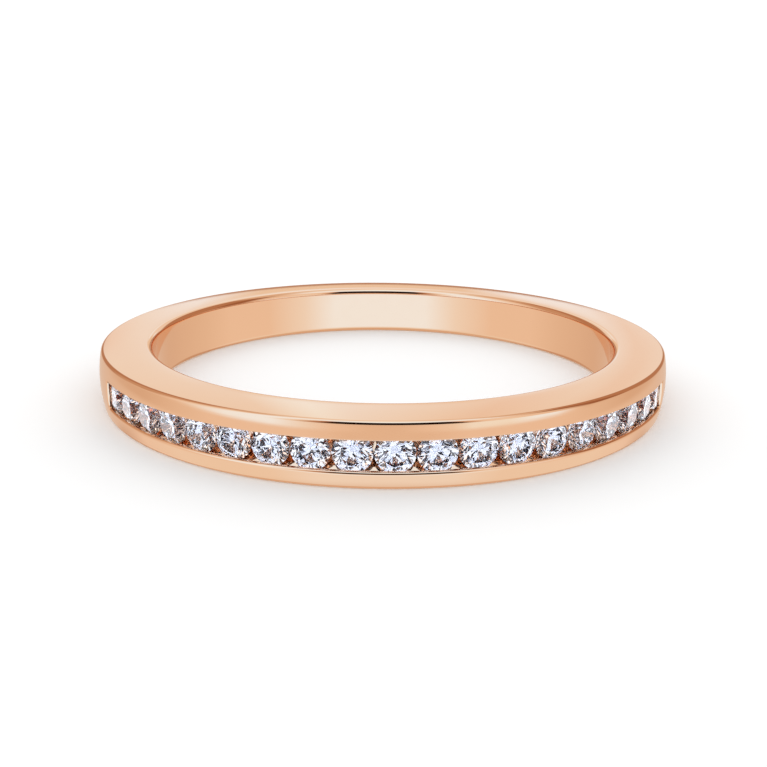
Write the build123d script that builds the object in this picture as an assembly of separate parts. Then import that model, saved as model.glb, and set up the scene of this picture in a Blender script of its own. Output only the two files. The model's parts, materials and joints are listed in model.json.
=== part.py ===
from build123d import *
import os
from math import atan2, cos, degrees, radians, sin, tan

# Channel-set wedding band: one cast rose gold ring that carries a single row of round
# brilliant stones in a channel over its front.
#
# Frame: +Z along the finger, origin at the middle of the bore. The centre stone faces -Y,
# and the ring rests on the side face at Z = -BAND_WIDTH / 2. Millimetres and degrees.

# ---- Band ------------------------------------------------------------------------------
BORE_RADIUS = 8.46        # inside diameter 16.92: a US size 6 1/2 finger
EDGE_RADIUS = 10.20       # outer wall where it meets the side faces
DOME_RISE = 0.12          # how much further out the wall is at mid-width
BAND_WIDTH = 2.00
INNER_ROUND = 0.22        # soft edge on the finger side
OUTER_ROUND = 0.05        # crisp edge on the outside

# ---- Stones: round brilliants ----------------------------------------------------------
STONE_COUNT = 19
STONE_DIAMETER = 1.16
STONE_STEP = 6.75         # degrees round the ring from one stone to the next
GIRDLE_RADIUS = 10.02     # ring axis to the middle of each girdle
STONE_TURN = 17.0         # each stone is set turned this much more about its own axis

TABLE_SIZE = 0.57         # table corner to corner, over the diameter
CROWN_ANGLE = 34.5        # kite facets
PAVILION_ANGLE = 40.75    # pavilion mains
GIRDLE_SHARE = 0.045      # girdle thickness over the diameter
STAR_LENGTH = 0.50        # star facets, over the way from table edge to girdle
LOWER_LENGTH = 0.77       # lower girdle facets, over the way from girdle to culet
CULET_SHARE = 0.012       # width of the flat at the point, over the diameter

# ---- Channel ---------------------------------------------------------------------------
CHANNEL_WIDTH = 0.92      # clear opening between the two rails
SEAT_CLEARANCE = 0.012    # room round each girdle in the groove
LIP_BREAK = 0.04          # softened edge of the rails
CULET_ROOM = 0.06         # metal floor below the points of the stones
END_ROOM = 0.03           # gap from the last girdle to the channel's end wall

STONE_RADIUS = STONE_DIAMETER / 2
GIRDLE_HALF = GIRDLE_SHARE * STONE_DIAMETER / 2
CROWN_SLOPE = tan(radians(CROWN_ANGLE))
PAVILION_SLOPE = tan(radians(PAVILION_ANGLE))
PAVILION_DEPTH = STONE_RADIUS * PAVILION_SLOPE
ARC_HALF = (STONE_COUNT - 1) / 2 * STONE_STEP + degrees(atan2(STONE_RADIUS + END_ROOM, GIRDLE_RADIUS))


def band_blank():
    """The plain ring: flat sides, a straight bore and a lightly domed outer wall."""
    half = BAND_WIDTH / 2
    outline = Polyline(
        (EDGE_RADIUS, -half), (BORE_RADIUS, -half), (BORE_RADIUS, half), (EDGE_RADIUS, half)
    )
    outline += ThreePointArc((EDGE_RADIUS, half), (EDGE_RADIUS + DOME_RISE, 0), (EDGE_RADIUS, -half))
    section = make_face(outline)
    section = fillet(section.vertices().group_by(Axis.X)[0], INNER_ROUND)
    section = fillet(section.vertices().group_by(Axis.X)[-1], OUTER_ROUND)
    return revolve(Plane.XZ * section, Axis.Z)


def channel():
    """The cut for the stones: an open slot with a groove in both walls for the girdles."""
    wall = CHANNEL_WIDTH / 2
    groove = STONE_RADIUS + SEAT_CLEARANCE
    girdle_top = GIRDLE_RADIUS + GIRDLE_HALF + SEAT_CLEARANCE
    girdle_bottom = GIRDLE_RADIUS - GIRDLE_HALF - SEAT_CLEARANCE
    floor = GIRDLE_RADIUS - GIRDLE_HALF - PAVILION_DEPTH - CULET_ROOM
    rail_top = EDGE_RADIUS + DOME_RISE * (1 - (CHANNEL_WIDTH / BAND_WIDTH) ** 2)
    mouth = rail_top - LIP_BREAK
    outside = rail_top + 4 * LIP_BREAK
    half_outline = [
        (floor, wall),
        (girdle_bottom - (groove - wall) * PAVILION_SLOPE, wall),
        (girdle_bottom, groove),
        (girdle_top, groove),
        (girdle_top + (groove - wall) * CROWN_SLOPE, wall),
        (mouth, wall),
        (outside, wall + outside - mouth),
    ]
    other_half = [(radius, -height) for radius, height in reversed(half_outline)]
    section = make_face(Polyline(*half_outline, *other_half, close=True))
    return Rot(0, 0, -90 - ARC_HALF) * revolve(Plane.XZ * section, Axis.Z, 2 * ARC_HALF)


def cut_facets(stone, count, first, slope, reach, height):
    """Grind a ring of flat facets that fall away outward by slope (rise over run). Each one
    passes reach out from the stone's axis at the given height; below the girdle the height
    is negative and the facets face down."""
    side = 1 if height > 0 else -1
    for index in range(count):
        azimuth = radians(first + index * 360 / count)
        point = (reach * cos(azimuth), reach * sin(azimuth), height)
        normal = (slope * cos(azimuth), slope * sin(azimuth), side)
        stone = split(stone, bisect_by=Plane(point, z_dir=normal), keep=Keep.BOTTOM)
    return stone


def brilliant():
    """A 57-facet round brilliant, table up, with the middle of its girdle at the origin."""
    half_step = radians(22.5)
    quarter_step = radians(11.25)
    table_corner = TABLE_SIZE * STONE_RADIUS
    table_edge = table_corner * cos(half_step)
    table_height = GIRDLE_HALF + (STONE_RADIUS - table_corner) * CROWN_SLOPE
    star_tip = table_edge + STAR_LENGTH * (STONE_RADIUS - table_edge)
    star_height = table_height - (star_tip * cos(half_step) - table_corner) * CROWN_SLOPE
    star_slope = (table_height - star_height) / (star_tip - table_edge)
    upper_slope = (star_height - GIRDLE_HALF) / ((STONE_RADIUS - star_tip) * cos(quarter_step))
    lower_tip = (1 - LOWER_LENGTH) * STONE_RADIUS
    lower_drop = PAVILION_DEPTH - lower_tip * cos(half_step) * PAVILION_SLOPE
    lower_slope = lower_drop / ((STONE_RADIUS - lower_tip) * cos(quarter_step))
    culet = GIRDLE_HALF + PAVILION_DEPTH - CULET_SHARE * STONE_RADIUS * PAVILION_SLOPE

    rough = Cylinder(STONE_RADIUS, culet + table_height, align=(Align.CENTER, Align.CENTER, Align.MIN))
    stone = Pos(0, 0, -culet) * rough
    rim = STONE_RADIUS * cos(quarter_step)
    stone = cut_facets(stone, 8, 0, CROWN_SLOPE, STONE_RADIUS, GIRDLE_HALF)
    stone = cut_facets(stone, 8, 22.5, star_slope, table_edge, table_height)
    stone = cut_facets(stone, 16, 11.25, upper_slope, rim, GIRDLE_HALF)
    stone = cut_facets(stone, 8, 0, PAVILION_SLOPE, STONE_RADIUS, -GIRDLE_HALF)
    stone = cut_facets(stone, 16, 11.25, lower_slope, rim, -GIRDLE_HALF)
    return stone


os.makedirs("parts", exist_ok=True)

band = band_blank() - channel()
export_step(band, "parts/band.step")

stone = brilliant()
for number in range(1, STONE_COUNT + 1):
    around = (number - (STONE_COUNT + 1) / 2) * STONE_STEP
    seat = Rot(0, 0, around) * Pos(0, -GIRDLE_RADIUS, 0) * Rot(90, 0, 0)
    export_step(seat * Rot(0, 0, number * STONE_TURN) * stone, f"parts/stone_{number:02d}.step")
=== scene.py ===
import json
from math import pi, radians, sin, sqrt, tan

import bmesh
import bpy
from mathutils import Matrix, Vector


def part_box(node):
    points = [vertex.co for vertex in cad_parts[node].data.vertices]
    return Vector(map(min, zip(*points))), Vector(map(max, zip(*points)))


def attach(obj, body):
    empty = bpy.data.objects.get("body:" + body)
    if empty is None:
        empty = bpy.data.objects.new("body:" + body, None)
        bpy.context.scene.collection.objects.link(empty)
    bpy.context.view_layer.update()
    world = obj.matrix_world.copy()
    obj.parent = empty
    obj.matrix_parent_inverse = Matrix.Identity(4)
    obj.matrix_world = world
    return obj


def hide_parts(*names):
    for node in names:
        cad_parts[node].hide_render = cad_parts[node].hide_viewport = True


bl_info = {
    "name": "Channel-set wedding band",
    "version": (1, 0, 0),
    "blender": (4, 5, 0),
    "location": "3D View > Sidebar > Ring",
    "description": "Polished rose gold band with a channel of round brilliants, and a photo studio",
    "category": "Object",
}

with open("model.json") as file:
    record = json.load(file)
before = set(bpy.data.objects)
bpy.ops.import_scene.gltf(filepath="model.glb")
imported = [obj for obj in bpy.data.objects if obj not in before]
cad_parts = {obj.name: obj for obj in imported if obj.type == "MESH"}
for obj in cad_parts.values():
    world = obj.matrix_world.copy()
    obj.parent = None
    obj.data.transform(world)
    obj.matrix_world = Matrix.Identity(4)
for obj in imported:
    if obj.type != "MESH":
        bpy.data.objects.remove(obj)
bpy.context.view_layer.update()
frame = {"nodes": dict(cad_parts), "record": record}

MM = 0.001
FRONT = -pi / 2             # the centre stone faces -Y
WELD = 0.0005 * MM          # points nearer than this are one
NEAR = 0.002 * MM           # how far a point may be from the edge it belongs to
SUPPORT = 1.15              # where a rounding's support point lies, over the rounding's radius
END_SHARE = 0.98            # how much of the channel's opening its end lip spans, clear of the corners
CORNER = radians(45)        # a bend past this is an edge to round
CREASE = radians(30)        # a bend past this is shaded sharp
TABLE_RADIUS = 600 * MM
STONES = [name for name in sorted(frame["nodes"]) if name.startswith("stone_")]
CENTRE_STONE = STONES[len(STONES) // 2]
BORE = next(m for m in frame["record"]["mounts"] if m["name"] == "finger_bore")["dims"]
BAND_LOW, BAND_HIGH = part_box("band")
STONE_LOW, STONE_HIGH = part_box(CENTRE_STONE)


# ---- Settings ----------------------------------------------------------------------------

class RingBandSettings(bpy.types.PropertyGroup):
    """Sizes of the metal band"""

    bore_radius: bpy.props.FloatProperty(
        name="Bore radius", description="Half the inside diameter",
        default=BORE["r_mm"] * MM, precision=5, unit="LENGTH")
    width: bpy.props.FloatProperty(
        name="Width", description="Distance between the two flat sides",
        default=BAND_HIGH.z - BAND_LOW.z, precision=5, unit="LENGTH")
    outer_radius: bpy.props.FloatProperty(
        name="Outer radius", description="Ring axis to the outer wall at mid-width",
        default=BAND_HIGH.y, precision=5, unit="LENGTH")
    dome_rise: bpy.props.FloatProperty(
        name="Dome rise", description="How much the outer wall bulges between its two edges",
        default=0.12 * MM, precision=5, unit="LENGTH")
    inner_round: bpy.props.FloatProperty(
        name="Inner round", description="Radius of the soft edges on the finger side",
        default=0.22 * MM, precision=5, unit="LENGTH")
    outer_round: bpy.props.FloatProperty(
        name="Outer round", description="Radius of the crisp edges on the outside",
        default=0.09 * MM, precision=5, unit="LENGTH")
    steps: bpy.props.IntProperty(
        name="Steps", description="Divisions of the full turn", default=540, min=60)


class RingChannelSettings(bpy.types.PropertyGroup):
    """Sizes of the channel that holds the stones"""

    opening: bpy.props.FloatProperty(
        name="Opening", description="Clear width between the two rails",
        default=0.92 * MM, precision=5, unit="LENGTH")
    upper_lip: bpy.props.FloatProperty(
        name="Upper lip", description="Softened edge of the upper rail",
        default=0.02 * MM, precision=5, unit="LENGTH")
    end_lip: bpy.props.FloatProperty(
        name="End lip", description="Burnished edge of the channel's two ends",
        default=0.06 * MM, precision=5, unit="LENGTH")
    lower_lip: bpy.props.FloatProperty(
        name="Lower lip", description="Burnished edge of the lower rail",
        default=0.10 * MM, precision=5, unit="LENGTH")
    clearance: bpy.props.FloatProperty(
        name="Seat clearance", description="Room round each girdle in the groove",
        default=0.012 * MM, precision=5, unit="LENGTH")
    girdle_share: bpy.props.FloatProperty(
        name="Girdle share", description="Girdle thickness over the stone's diameter", default=0.045)
    crown_angle: bpy.props.FloatProperty(
        name="Crown angle", description="Slope of the groove's upper face",
        default=radians(34.5), subtype="ANGLE")
    pavilion_angle: bpy.props.FloatProperty(
        name="Pavilion angle", description="Slope of the groove's lower face",
        default=radians(40.75), subtype="ANGLE")
    girdle_radius: bpy.props.FloatProperty(
        name="Girdle radius", description="Ring axis to the middle of the girdles",
        default=10.02 * MM, precision=5, unit="LENGTH")
    floor_room: bpy.props.FloatProperty(
        name="Floor room", description="Gap between the stones' points and the channel's floor",
        default=0.06 * MM, precision=5, unit="LENGTH")
    half_angle: bpy.props.FloatProperty(
        name="Half angle", description="From the centre stone to the end of the channel",
        default=radians(63.2), subtype="ANGLE")


class RingFinishSettings(bpy.types.PropertyGroup):
    """Colours of the metal and the stones"""

    gold: bpy.props.StringProperty(
        name="Gold", description="sRGB hex of the polished metal", default="F2CBAA")
    gold_warm: bpy.props.StringProperty(
        name="Warm gold", description="sRGB hex where the alloy is a touch redder", default="F0C6A3")
    stone: bpy.props.StringProperty(
        name="Stone", description="sRGB hex of the stones", default="F6F9FF")
    floor: bpy.props.StringProperty(
        name="Floor", description="sRGB hex of the table top", default="F7F7F7")


class RingStudioSettings(bpy.types.PropertyGroup):
    """Camera and lights"""

    camera_place: bpy.props.FloatVectorProperty(
        name="Camera place", description="Lens position",
        default=(-1.208 * MM, -32.998 * MM, 9.007 * MM), precision=5, subtype="TRANSLATION")
    camera_turn: bpy.props.FloatProperty(
        name="Camera turn", description="How far the view points to the right of +Y",
        default=radians(2.15), subtype="ANGLE")
    camera_dip: bpy.props.FloatProperty(
        name="Camera dip", description="How far the view points below level",
        default=radians(16.92), subtype="ANGLE")
    camera_roll: bpy.props.FloatProperty(
        name="Camera roll", description="Turn of the camera about its view line",
        default=radians(0.61), subtype="ANGLE")
    lens: bpy.props.FloatProperty(
        name="Lens", description="Focal length on a 36 mm sensor", default=42.15, unit="CAMERA")
    brightness: bpy.props.FloatProperty(
        name="Brightness", description="Strength of all the studio's light", default=1.0)
    table_light: bpy.props.FloatProperty(
        name="Table light", description="Plain light on the table", default=1.14)
    pane_light: bpy.props.FloatProperty(
        name="Pane light", description="Panes seen through the stones", default=1.5)
    sheet_light: bpy.props.FloatProperty(
        name="Sheet light", description="Panes mirrored by the gold behind a stone", default=2.7)


# ---- Small helpers -----------------------------------------------------------------------

def srgb(code):
    """An sRGB hex colour as the linear RGBA that the shaders use."""
    channels = [int(code[i:i + 2], 16) / 255 for i in (0, 2, 4)]
    linear = (c / 12.92 if c <= 0.04045 else ((c + 0.055) / 1.055) ** 2.4 for c in channels)
    return (*linear, 1)


def add_node(tree, kind, values=None, links=None, stops=(), **settings):
    """Add a node: settings are its options, values its plain inputs, links its linked ones and
    stops a ramp's (position, colour) pairs."""
    node = tree.nodes.new(kind)
    for name, value in settings.items():
        setattr(node, name, value)
    for name, value in (values or {}).items():
        node.inputs[name].default_value = value
    for name, socket in (links or {}).items():
        tree.links.new(socket, node.inputs[name])
    if stops:
        elements = node.color_ramp.elements
        elements.remove(elements[1])
        elements[0].position, elements[0].color = stops[0]
        for position, colour in stops[1:]:
            elements.new(position).color = colour
    return node


def new_tree(name):
    """A new material with an empty node tree, its output and its principled shader."""
    material = bpy.data.materials.new(name)
    material.use_nodes = True
    tree = material.node_tree
    tree.nodes.clear()
    shader = add_node(tree, "ShaderNodeBsdfPrincipled")
    add_node(tree, "ShaderNodeOutputMaterial", links={"Surface": shader.outputs["BSDF"]})
    return material, tree, shader


def mesh_object(name, bm, material):
    """Turn a bmesh into an object that sits at the origin with its place in its mesh."""
    mesh = bpy.data.meshes.new(name)
    bm.to_mesh(mesh)
    bm.free()
    mesh.materials.append(material)
    piece = bpy.data.objects.new(name, mesh)
    bpy.context.scene.collection.objects.link(piece)
    return piece


# ---- Materials ---------------------------------------------------------------------------

def polished_rose_gold(finish):
    """14 carat rose gold, buffed on a wheel: nearly a mirror, with faint lines round the ring
    from the wheel, soft waves from hand polishing and patches that are a little less glossy."""
    material, tree, shader = new_tree("rose_gold_14k_high_polish")
    place = add_node(tree, "ShaderNodeTexCoord").outputs["Object"]
    split = add_node(tree, "ShaderNodeSeparateXYZ", links={"Vector": place})
    flat = add_node(tree, "ShaderNodeVectorMath", operation="MULTIPLY",
                    values={1: (1, 1, 0)}, links={0: place})
    radius = add_node(tree, "ShaderNodeVectorMath", operation="LENGTH", links={0: flat.outputs[0]})
    section = add_node(tree, "ShaderNodeCombineXYZ",
                       links={"X": radius.outputs["Value"], "Z": split.outputs["Z"]})

    # Buffing lines follow the turn of the wheel, drawn about 0.1 mm apart so that they show.
    lines = add_node(tree, "ShaderNodeTexNoise", values={"Scale": 1 / (0.12 * MM), "Detail": 2.0},
                     links={"Vector": section.outputs[0]})
    # The hand leaves soft waves a millimetre or so across.
    waves = add_node(tree, "ShaderNodeTexNoise", values={"Scale": 1 / (1.6 * MM), "Detail": 1.0},
                     links={"Vector": place})
    # Smears of polishing compound change the gloss in patches about half a millimetre across.
    smears = add_node(tree, "ShaderNodeTexNoise", values={"Scale": 1 / (0.5 * MM), "Detail": 4.0},
                      links={"Vector": place})
    # The alloy is a touch redder in places a few millimetres apart.
    alloy = add_node(tree, "ShaderNodeTexNoise", values={"Scale": 1 / (4 * MM), "Detail": 2.0},
                     links={"Vector": place})
    colour = add_node(tree, "ShaderNodeMix", data_type="RGBA",
                      values={6: srgb(finish.gold), 7: srgb(finish.gold_warm)},
                      links={0: alloy.outputs["Fac"]})
    gloss = add_node(tree, "ShaderNodeMapRange",
                     values={"From Min": 0.3, "From Max": 0.7, "To Min": 0.05, "To Max": 0.09},
                     links={"Value": smears.outputs["Fac"]})
    wave_bump = add_node(tree, "ShaderNodeBump", values={"Strength": 1.0, "Distance": 0.0015 * MM},
                         links={"Height": waves.outputs["Fac"]})
    line_bump = add_node(tree, "ShaderNodeBump", values={"Strength": 1.0, "Distance": 0.0004 * MM},
                         links={"Height": lines.outputs["Fac"], "Normal": wave_bump.outputs[0]})
    tree.links.new(colour.outputs[2], shader.inputs["Base Color"])
    tree.links.new(gloss.outputs["Result"], shader.inputs["Roughness"])
    tree.links.new(line_bump.outputs[0], shader.inputs["Normal"])
    shader.inputs["Metallic"].default_value = 1.0
    return material


def cut_diamond(finish):
    """Polished brilliant: colourless, very high index, so the back facets mirror light out
    again in bright and dark patches. The wheel leaves faint drag lines on the facets."""
    material, tree, shader = new_tree("diamond_polished_facets")
    place = add_node(tree, "ShaderNodeTexCoord").outputs["Object"]
    drag = add_node(tree, "ShaderNodeTexNoise", values={"Scale": 1 / (0.05 * MM), "Detail": 2.0},
                    links={"Vector": place})
    bump = add_node(tree, "ShaderNodeBump", values={"Strength": 1.0, "Distance": 0.00004 * MM},
                    links={"Height": drag.outputs["Fac"]})
    tree.links.new(bump.outputs[0], shader.inputs["Normal"])
    shader.inputs["Roughness"].default_value = 0.0
    shader.inputs["Base Color"].default_value = srgb(finish.stone)
    shader.inputs["IOR"].default_value = 2.417
    shader.inputs["Transmission Weight"].default_value = 1.0
    return material


def matt_white_acrylic(finish):
    """The table top: a plain sheet with a fine matt tooth, so shadows fall on it softly."""
    material, tree, shader = new_tree("white_acrylic_matt")
    place = add_node(tree, "ShaderNodeTexCoord").outputs["Object"]
    tooth = add_node(tree, "ShaderNodeTexNoise", values={"Scale": 1 / (0.4 * MM), "Detail": 3.0},
                     links={"Vector": place})
    bump = add_node(tree, "ShaderNodeBump", values={"Strength": 0.2, "Distance": 0.002 * MM},
                    links={"Height": tooth.outputs["Fac"]})
    tree.links.new(bump.outputs[0], shader.inputs["Normal"])
    shader.inputs["Base Color"].default_value = srgb(finish.floor)
    shader.inputs["Roughness"].default_value = 0.9
    shader.inputs["Specular IOR Level"].default_value = 0.1
    return material


# ---- Band --------------------------------------------------------------------------------

def dome_radius(band, height):
    """Radius of the outer wall at a height above mid-width: an arc over the band's width."""
    half = band.width / 2
    arc = (half ** 2 + band.dome_rise ** 2) / (2 * band.dome_rise)
    return band.outer_radius - arc + sqrt(arc ** 2 - height ** 2)


def rail_outline(band, wall, lip, divisions=6):
    """One rail's front from the channel's wall out to the side face. Each end has a point just
    clear of its rounding, so that the rounding doesn't bend the front's shading."""
    half = band.width / 2
    start, end = wall + SUPPORT * lip, half - SUPPORT * band.outer_round
    heights = [wall, *(start + (end - start) * i / divisions for i in range(divisions + 1)), half]
    return [(dome_radius(band, height), height) for height in heights]


def shank_outline(band, channel, wall):
    """The outline that both stretches of the ring share, from one rail's lip round to the other."""
    half = band.width / 2
    straight = half - SUPPORT * band.inner_round
    bore = [(band.bore_radius, height) for height in (half, straight, -straight, -half)]
    lower = [(radius, -height) for radius, height in rail_outline(band, wall, channel.lower_lip)]
    return rail_outline(band, wall, channel.upper_lip) + bore + lower[::-1]


def dome_outline(band, wall, divisions=12):
    """The middle of the outer wall where there is no channel, from lower lip to upper lip."""
    heights = [wall * (2 * i / divisions - 1) for i in range(1, divisions)]
    return [(dome_radius(band, height), height) for height in heights]


def channel_outline(channel, stone_radius, wall):
    """The walls, seat groove and floor of the channel, from lower lip to upper lip."""
    groove = stone_radius + channel.clearance
    half_girdle = channel.girdle_share * stone_radius
    top = channel.girdle_radius + half_girdle + channel.clearance
    bottom = channel.girdle_radius - half_girdle - channel.clearance
    crown = tan(channel.crown_angle)
    pavilion = tan(channel.pavilion_angle)
    floor = channel.girdle_radius - half_girdle - stone_radius * pavilion - channel.floor_room
    upper = [
        (floor, wall),
        (bottom - (groove - wall) * pavilion, wall),
        (bottom, groove),
        (top, groove),
        (top + (groove - wall) * crown, wall),
    ]
    return [(radius, -height) for radius, height in reversed(upper)] + upper


def spin_outline(bm, outline, start, sweep, steps):
    """Spin a closed outline of (radius, height) points about the ring's axis."""
    verts = [bm.verts.new((radius, 0, height)) for radius, height in outline]
    edges = [bm.edges.new((verts[i - 1], verts[i])) for i in range(len(verts))]
    bmesh.ops.rotate(bm, verts=verts, cent=(0, 0, 0), matrix=Matrix.Rotation(start, 3, "Z"))
    bmesh.ops.spin(bm, geom=verts + edges, cent=(0, 0, 0), axis=(0, 0, 1),
                   angle=sweep, steps=steps, use_merge=False)


def loop_edges(bm, radius, height):
    """The edges that run round the ring at a radius and at that height above and below."""
    def on_loop(vert):
        return abs(vert.co.xy.length - radius) < NEAR and abs(abs(vert.co.z) - height) < NEAR
    return [edge for edge in bm.edges if all(on_loop(vert) for vert in edge.verts)]


def end_edges(bm, radius, height):
    """The edges that cross the channel's two ends, clear of its corners."""
    def on_end(vert):
        return vert.co.xy.length > radius - NEAR and abs(vert.co.z) < height
    return [edge for edge in bm.edges if edge.calc_face_angle(0) > CORNER
            and all(on_end(vert) for vert in edge.verts)]


def round_edges(bm, edges, radius, segments):
    """Round edges with a bevel of circular section."""
    bmesh.ops.bevel(bm, geom=edges, offset=radius, offset_type="OFFSET", affect="EDGES",
                    segments=segments, profile=0.5, material=-1, clamp_overlap=False)


class RING_OT_band(bpy.types.Operator):
    """Build the one-piece gold band with its channel, seat groove and closed channel ends"""
    bl_idname = "ring.band"
    bl_label = "Gold band"

    def execute(self, context):
        band = context.scene.ring_band
        channel = context.scene.ring_channel
        wall = channel.opening / 2
        stone_radius = (STONE_HIGH.z - STONE_LOW.z) / 2
        shank = shank_outline(band, channel, wall)
        front = 2 * channel.half_angle
        front_steps = round(band.steps * front / (2 * pi))

        bm = bmesh.new()
        spin_outline(bm, shank + channel_outline(channel, stone_radius, wall),
                     FRONT - channel.half_angle, front, front_steps)
        spin_outline(bm, shank + dome_outline(band, wall),
                     FRONT + channel.half_angle, 2 * pi - front, band.steps - front_steps)
        bmesh.ops.remove_doubles(bm, verts=bm.verts, dist=WELD)
        end_walls = [edge for edge in bm.edges if edge.is_boundary]
        bmesh.ops.holes_fill(bm, edges=end_walls, sides=0)
        bmesh.ops.recalc_face_normals(bm, faces=bm.faces)

        half = band.width / 2
        rail = dome_radius(band, wall)
        round_edges(bm, end_edges(bm, rail, END_SHARE * wall), channel.end_lip, segments=5)
        lips = [edge for edge in loop_edges(bm, rail, wall) if edge.calc_face_angle() > CORNER]
        lower = [edge for edge in lips if edge.verts[0].co.z < 0]
        round_edges(bm, lower, channel.lower_lip, segments=6)
        upper = [edge for edge in lips if edge.is_valid]
        round_edges(bm, upper, channel.upper_lip, segments=4)
        round_edges(bm, loop_edges(bm, band.bore_radius, half), band.inner_round, segments=10)
        outer = loop_edges(bm, dome_radius(band, half), half)
        round_edges(bm, outer, band.outer_round, segments=5)
        for face in bm.faces:
            face.smooth = True
        for edge in bm.edges:
            edge.smooth = not edge.is_manifold or edge.calc_face_angle() < CREASE

        piece = mesh_object("gold_band", bm, polished_rose_gold(context.scene.ring_finish))
        weighted = piece.modifiers.new("flat_sides_stay_flat", "WEIGHTED_NORMAL")
        weighted.keep_sharp = True
        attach(piece, "root")
        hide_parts("band")
        return {"FINISHED"}


# ---- Stones ------------------------------------------------------------------------------

class RING_OT_stones(bpy.types.Operator):
    """Finish the row of round brilliants as polished diamond"""
    bl_idname = "ring.stones"
    bl_label = "Stones"

    def execute(self, context):
        diamond = cut_diamond(context.scene.ring_finish)
        for name in STONES:
            mesh = frame["nodes"][name].data
            mesh.materials.clear()
            mesh.materials.append(diamond)
        return {"FINISHED"}


# ---- Studio ------------------------------------------------------------------------------

# Cards and cloths hung round the ring, in linear red, green and blue, where 1 is white paper.
CARDS = {
    "lamp": (1.08, 1.46, 1.78),
    "daylight": (1.02, 1.32, 1.68),
    "ivory": (1.01, 1.17, 1.28),
    "pale": (0.98, 1.04, 1.10),
    "cream": (0.96, 0.93, 0.89),
    "beige": (0.94, 0.83, 0.75),
    "tan": (0.87, 0.74, 0.64),
    "straw": (0.90, 0.72, 0.54),
    "sand": (0.78, 0.61, 0.49),
    "clay": (0.64, 0.42, 0.29),
    "brown": (0.52, 0.28, 0.17),
    "umber": (0.38, 0.17, 0.09),
    "black": (0.012, 0.004, 0.002),
    "none": (0.0, 0.0, 0.0),
    "grey": (0.30, 0.31, 0.35),
    "night": (0.09, 0.10, 0.14),
    "window": (1.9, 1.94, 2.05),
}
# The cards that the two bands just above level share, laid out as TENT's are.
SHOULDERS = (
    (-157, "brown"), (-136, "brown"), (-125, "clay"), (-104, "clay"), (-88, "beige"), (-76, "pale"),
    (-62, "daylight"), (-46, "daylight"), (-36, "cream"), (-27, "brown"), (-21, "black"),
    (27, "black"), (31, "clay"), (36, "beige"), (45, "cream"), (62, "beige"), (72, "tan"),
    (84, "umber"), (97, "umber"), (106, "brown"), (151, "brown"),
)
# From straight down to overhead: the two elevations between which each band takes over from the
# one below it, and its cards by degrees from the front, to the left below nought. A band that
# lists one side only is the same on the other.
TENT = (
    (-90, -90, ((0, "sand"), (180, "sand"))),
    (-58, -42, ((0, "pale"), (30, "pale"), (50, "cream"), (94, "cream"), (116, "beige"),
                (138, "clay"))),
    (-28, -22, ((0, "daylight"), (26, "daylight"), (44, "pale"), (66, "beige"), (92, "beige"),
                (112, "tan"), (150, "sand"))),
    (-11, -7, ((0, "tan"), (14, "tan"), (30, "beige"), (66, "beige"), (84, "tan"), (104, "sand"),
               (150, "sand"), (170, "tan"))),
    (-3, 1, ((-128, "brown"), (-112, "sand"), (-98, "tan"), (-84, "beige"), (-76, "pale"),
             (-62, "daylight"), (-43, "daylight"), (-31, "pale"), (-20, "beige"), (-6, "tan"),
             (4, "tan"), (15, "beige"), (24, "cream"), (31, "ivory"), (45, "ivory"),
             (56, "daylight"), (65, "daylight"), (74, "beige"), (80, "sand"), (104, "sand"),
             (124, "brown"))),
    (5, 8, ((-180, "straw"), (-174, "straw"), (-170, "pale"), (-166, "cream"), (-163, "beige"),
            *SHOULDERS,
            (157, "cream"), (162, "beige"), (165, "pale"), (169, "pale"), (173, "straw"),
            (180, "straw"))),
    (12, 16, ((-180, "pale"), (-177, "ivory"), (-173, "cream"), (-161, "cream"),
              *SHOULDERS,
              (155, "cream"), (158, "cream"), (161, "beige"), (164, "cream"), (170, "beige"),
              (174, "cream"), (180, "pale"))),
    (50, 56, ((0, "daylight"), (66, "daylight"), (80, "tan"), (110, "sand"), (152, "sand"),
              (174, "beige"))),
    (62, 74, ((0, "lamp"), (50, "daylight"), (110, "pale"))),
)
# A grey cloth to the sides and behind, which fills in the stones at the two ends of the row.
FILL = ((0, "none"), (66, "none"), (100, "grey"), (180, "grey"))
# A dark room in front, and windows to the sides and behind.
GLINTS = ((0, "night"), (74, "night"), (100, "window"), (180, "window"))
# Patches of light and dark that the stones send back, by the noise value where each starts.
PANES = ((0.475, (0.002, 0.002, 0.004, 1)), (0.495, (0.06, 0.065, 0.09, 1)),
         (0.51, (0.34, 0.37, 0.48, 1)), (0.53, (0.95, 0.97, 1.0, 1)))
SHEET = (0.88, 0.93, 1.04, 1)


def card_stops(cards):
    """The stops of a ramp that goes once round the ring, so that each card blends into the next."""
    if cards[0][0] >= 0:
        cards = {(side * angle, card) for angle, card in cards for side in (-1, 1)}
    return [((angle + 180) / 360, CARDS[card] + (1,)) for angle, card in sorted(cards)]


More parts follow.
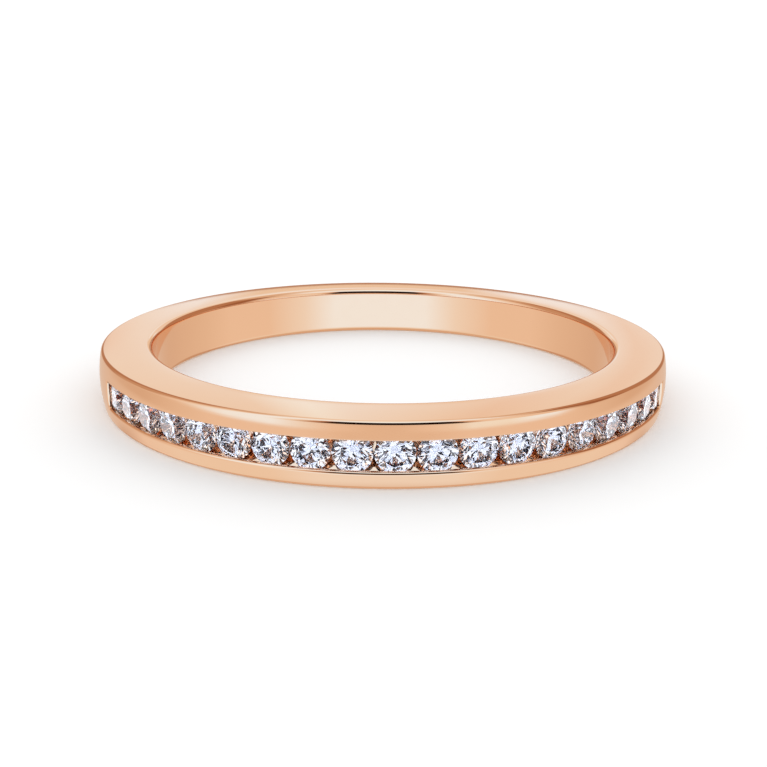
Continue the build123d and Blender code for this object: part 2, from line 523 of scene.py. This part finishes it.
def studio_world(studio):
    """A tent of cards for the gold, bright panes for the stones and plain light for the table."""
    world = bpy.data.worlds.new("studio_tent")
    world.use_nodes = True
    tree = world.node_tree
    tree.nodes.clear()
    direction = add_node(tree, "ShaderNodeTexCoord").outputs["Generated"]
    split = add_node(tree, "ShaderNodeSeparateXYZ", links={"Vector": direction})
    forward = add_node(tree, "ShaderNodeMath", operation="MULTIPLY", values={1: -1.0},
                       links={0: split.outputs["Y"]})
    heading = add_node(tree, "ShaderNodeMath", operation="ARCTAN2",
                       links={0: split.outputs["X"], 1: forward.outputs[0]})
    turn = add_node(tree, "ShaderNodeMapRange", values={"From Min": -pi, "From Max": pi},
                    links={"Value": heading.outputs[0]}).outputs["Result"]
    tent = None
    for low, high, cards in TENT:
        band = add_node(tree, "ShaderNodeValToRGB", links={"Fac": turn}, stops=card_stops(cards))
        if tent is None:
            tent = band.outputs["Color"]
            continue
        rise = add_node(tree, "ShaderNodeMapRange", interpolation_type="SMOOTHSTEP",
                        values={"From Min": sin(radians(low)), "From Max": sin(radians(high))},
                        links={"Value": split.outputs["Z"]})
        tent = add_node(tree, "ShaderNodeMix", data_type="RGBA",
                        links={0: rise.outputs["Result"], 6: tent, 7: band.outputs["Color"]}).outputs[2]

    noise = add_node(tree, "ShaderNodeTexNoise", values={"Scale": 3.0, "Detail": 1.0, "Roughness": 0.5},
                     links={"Vector": direction})
    panes = add_node(tree, "ShaderNodeValToRGB", links={"Fac": noise.outputs["Fac"]}, stops=PANES)
    fill = add_node(tree, "ShaderNodeValToRGB", links={"Fac": turn}, stops=card_stops(FILL))
    filled = add_node(tree, "ShaderNodeMix", data_type="RGBA", blend_type="ADD", values={0: 1.0},
                      links={6: panes.outputs["Color"], 7: fill.outputs["Color"]}).outputs[2]
    # The gold behind a stone mirrors the panes through a pale blue sheet, so that it doesn't
    # redden the stone.
    sheet = add_node(tree, "ShaderNodeMix", data_type="RGBA", blend_type="MULTIPLY",
                     values={0: 1.0, 7: SHEET}, links={6: filled}).outputs[2]
    glints = add_node(tree, "ShaderNodeValToRGB", links={"Fac": turn}, stops=card_stops(GLINTS))

    # Each kind of ray meets its own light, and each takes over from the ones before it: what lights
    # the table, what the gold mirrors, what the stones' outer faces mirror, what the gold behind a
    # stone mirrors and what comes straight through a stone.
    path = add_node(tree, "ShaderNodeLightPath")
    behind = add_node(tree, "ShaderNodeMath", operation="GREATER_THAN", values={1: 0.5},
                      links={0: path.outputs["Transmission Depth"]})
    light = add_node(tree, "ShaderNodeBackground",
                     values={"Color": (1, 1, 1, 1), "Strength": studio.table_light * studio.brightness})
    for test, colour, strength in (
            (path.outputs["Is Glossy Ray"], tent, 1.0),
            (path.outputs["Is Singular Ray"], glints.outputs["Color"], 1.0),
            (behind.outputs[0], sheet, studio.sheet_light),
            (path.outputs["Is Transmission Ray"], filled, studio.pane_light)):
        lit = add_node(tree, "ShaderNodeBackground", values={"Strength": strength * studio.brightness},
                       links={"Color": colour})
        light = add_node(tree, "ShaderNodeMixShader",
                         links={0: test, 1: light.outputs[0], 2: lit.outputs[0]})
    add_node(tree, "ShaderNodeOutputWorld", links={"Surface": light.outputs[0]})
    world.cycles.sampling_method = "NONE"       # light reaches a surface only by rays of its kind
    return world


class RING_OT_studio(bpy.types.Operator):
    """Set the table top, the light tent and the camera"""
    bl_idname = "ring.studio"
    bl_label = "Studio"

    def execute(self, context):
        scene = context.scene
        studio = scene.ring_studio

        bm = bmesh.new()
        bmesh.ops.create_circle(bm, cap_ends=True, segments=96, radius=TABLE_RADIUS,
                                matrix=Matrix.Translation((0, 0, BAND_LOW.z)))
        table = mesh_object("table_top", bm, matt_white_acrylic(scene.ring_finish))
        table.visible_glossy = False        # the gold mirrors the cards below it instead

        scene.world = studio_world(studio)

        camera = bpy.data.objects.new("camera", bpy.data.cameras.new("camera"))
        scene.collection.objects.link(camera)
        camera.data.lens = studio.lens
        camera.data.sensor_width = 36
        camera.data.clip_start = 1 * MM
        camera.data.clip_end = 10
        camera.matrix_world = (
            Matrix.Translation(studio.camera_place)
            @ Matrix.Rotation(-studio.camera_turn, 4, "Z")
            @ Matrix.Rotation(pi / 2 - studio.camera_dip, 4, "X")
            @ Matrix.Rotation(studio.camera_roll, 4, "Z"))
        scene.camera = camera
        scene.view_settings.view_transform = "Standard"
        scene.cycles.max_bounces = 24
        scene.cycles.glossy_bounces = 10
        scene.cycles.transmission_bounces = 20
        return {"FINISHED"}


# ---- Sidebar and registration ------------------------------------------------------------

class RING_PT_sidebar(bpy.types.Panel):
    """Lists the steps that build the ring"""
    bl_idname = "RING_PT_sidebar"
    bl_label = "Wedding band"
    bl_space_type = "VIEW_3D"
    bl_region_type = "UI"
    bl_category = "Ring"

    def draw(self, context):
        for operator in OPERATORS:
            self.layout.operator(operator.bl_idname)
        for group in SETTINGS:
            box = self.layout.box()
            for name in SETTINGS[group].__annotations__:
                box.prop(getattr(context.scene, group), name)


OPERATORS = (RING_OT_band, RING_OT_stones, RING_OT_studio)
SETTINGS = {
    "ring_band": RingBandSettings,
    "ring_channel": RingChannelSettings,
    "ring_finish": RingFinishSettings,
    "ring_studio": RingStudioSettings,
}


def register():
    for cls in (*SETTINGS.values(), *OPERATORS, RING_PT_sidebar):
        bpy.utils.register_class(cls)
    for group, cls in SETTINGS.items():
        setattr(bpy.types.Scene, group, bpy.props.PointerProperty(type=cls))


def unregister():
    for group in SETTINGS:
        delattr(bpy.types.Scene, group)
    for cls in (RING_PT_sidebar, *reversed(OPERATORS), *SETTINGS.values()):
        bpy.utils.unregister_class(cls)


def main():
    register()
    bpy.ops.ring.band()
    bpy.ops.ring.stones()
    bpy.ops.ring.studio()


if __name__ == "__main__":
    main()
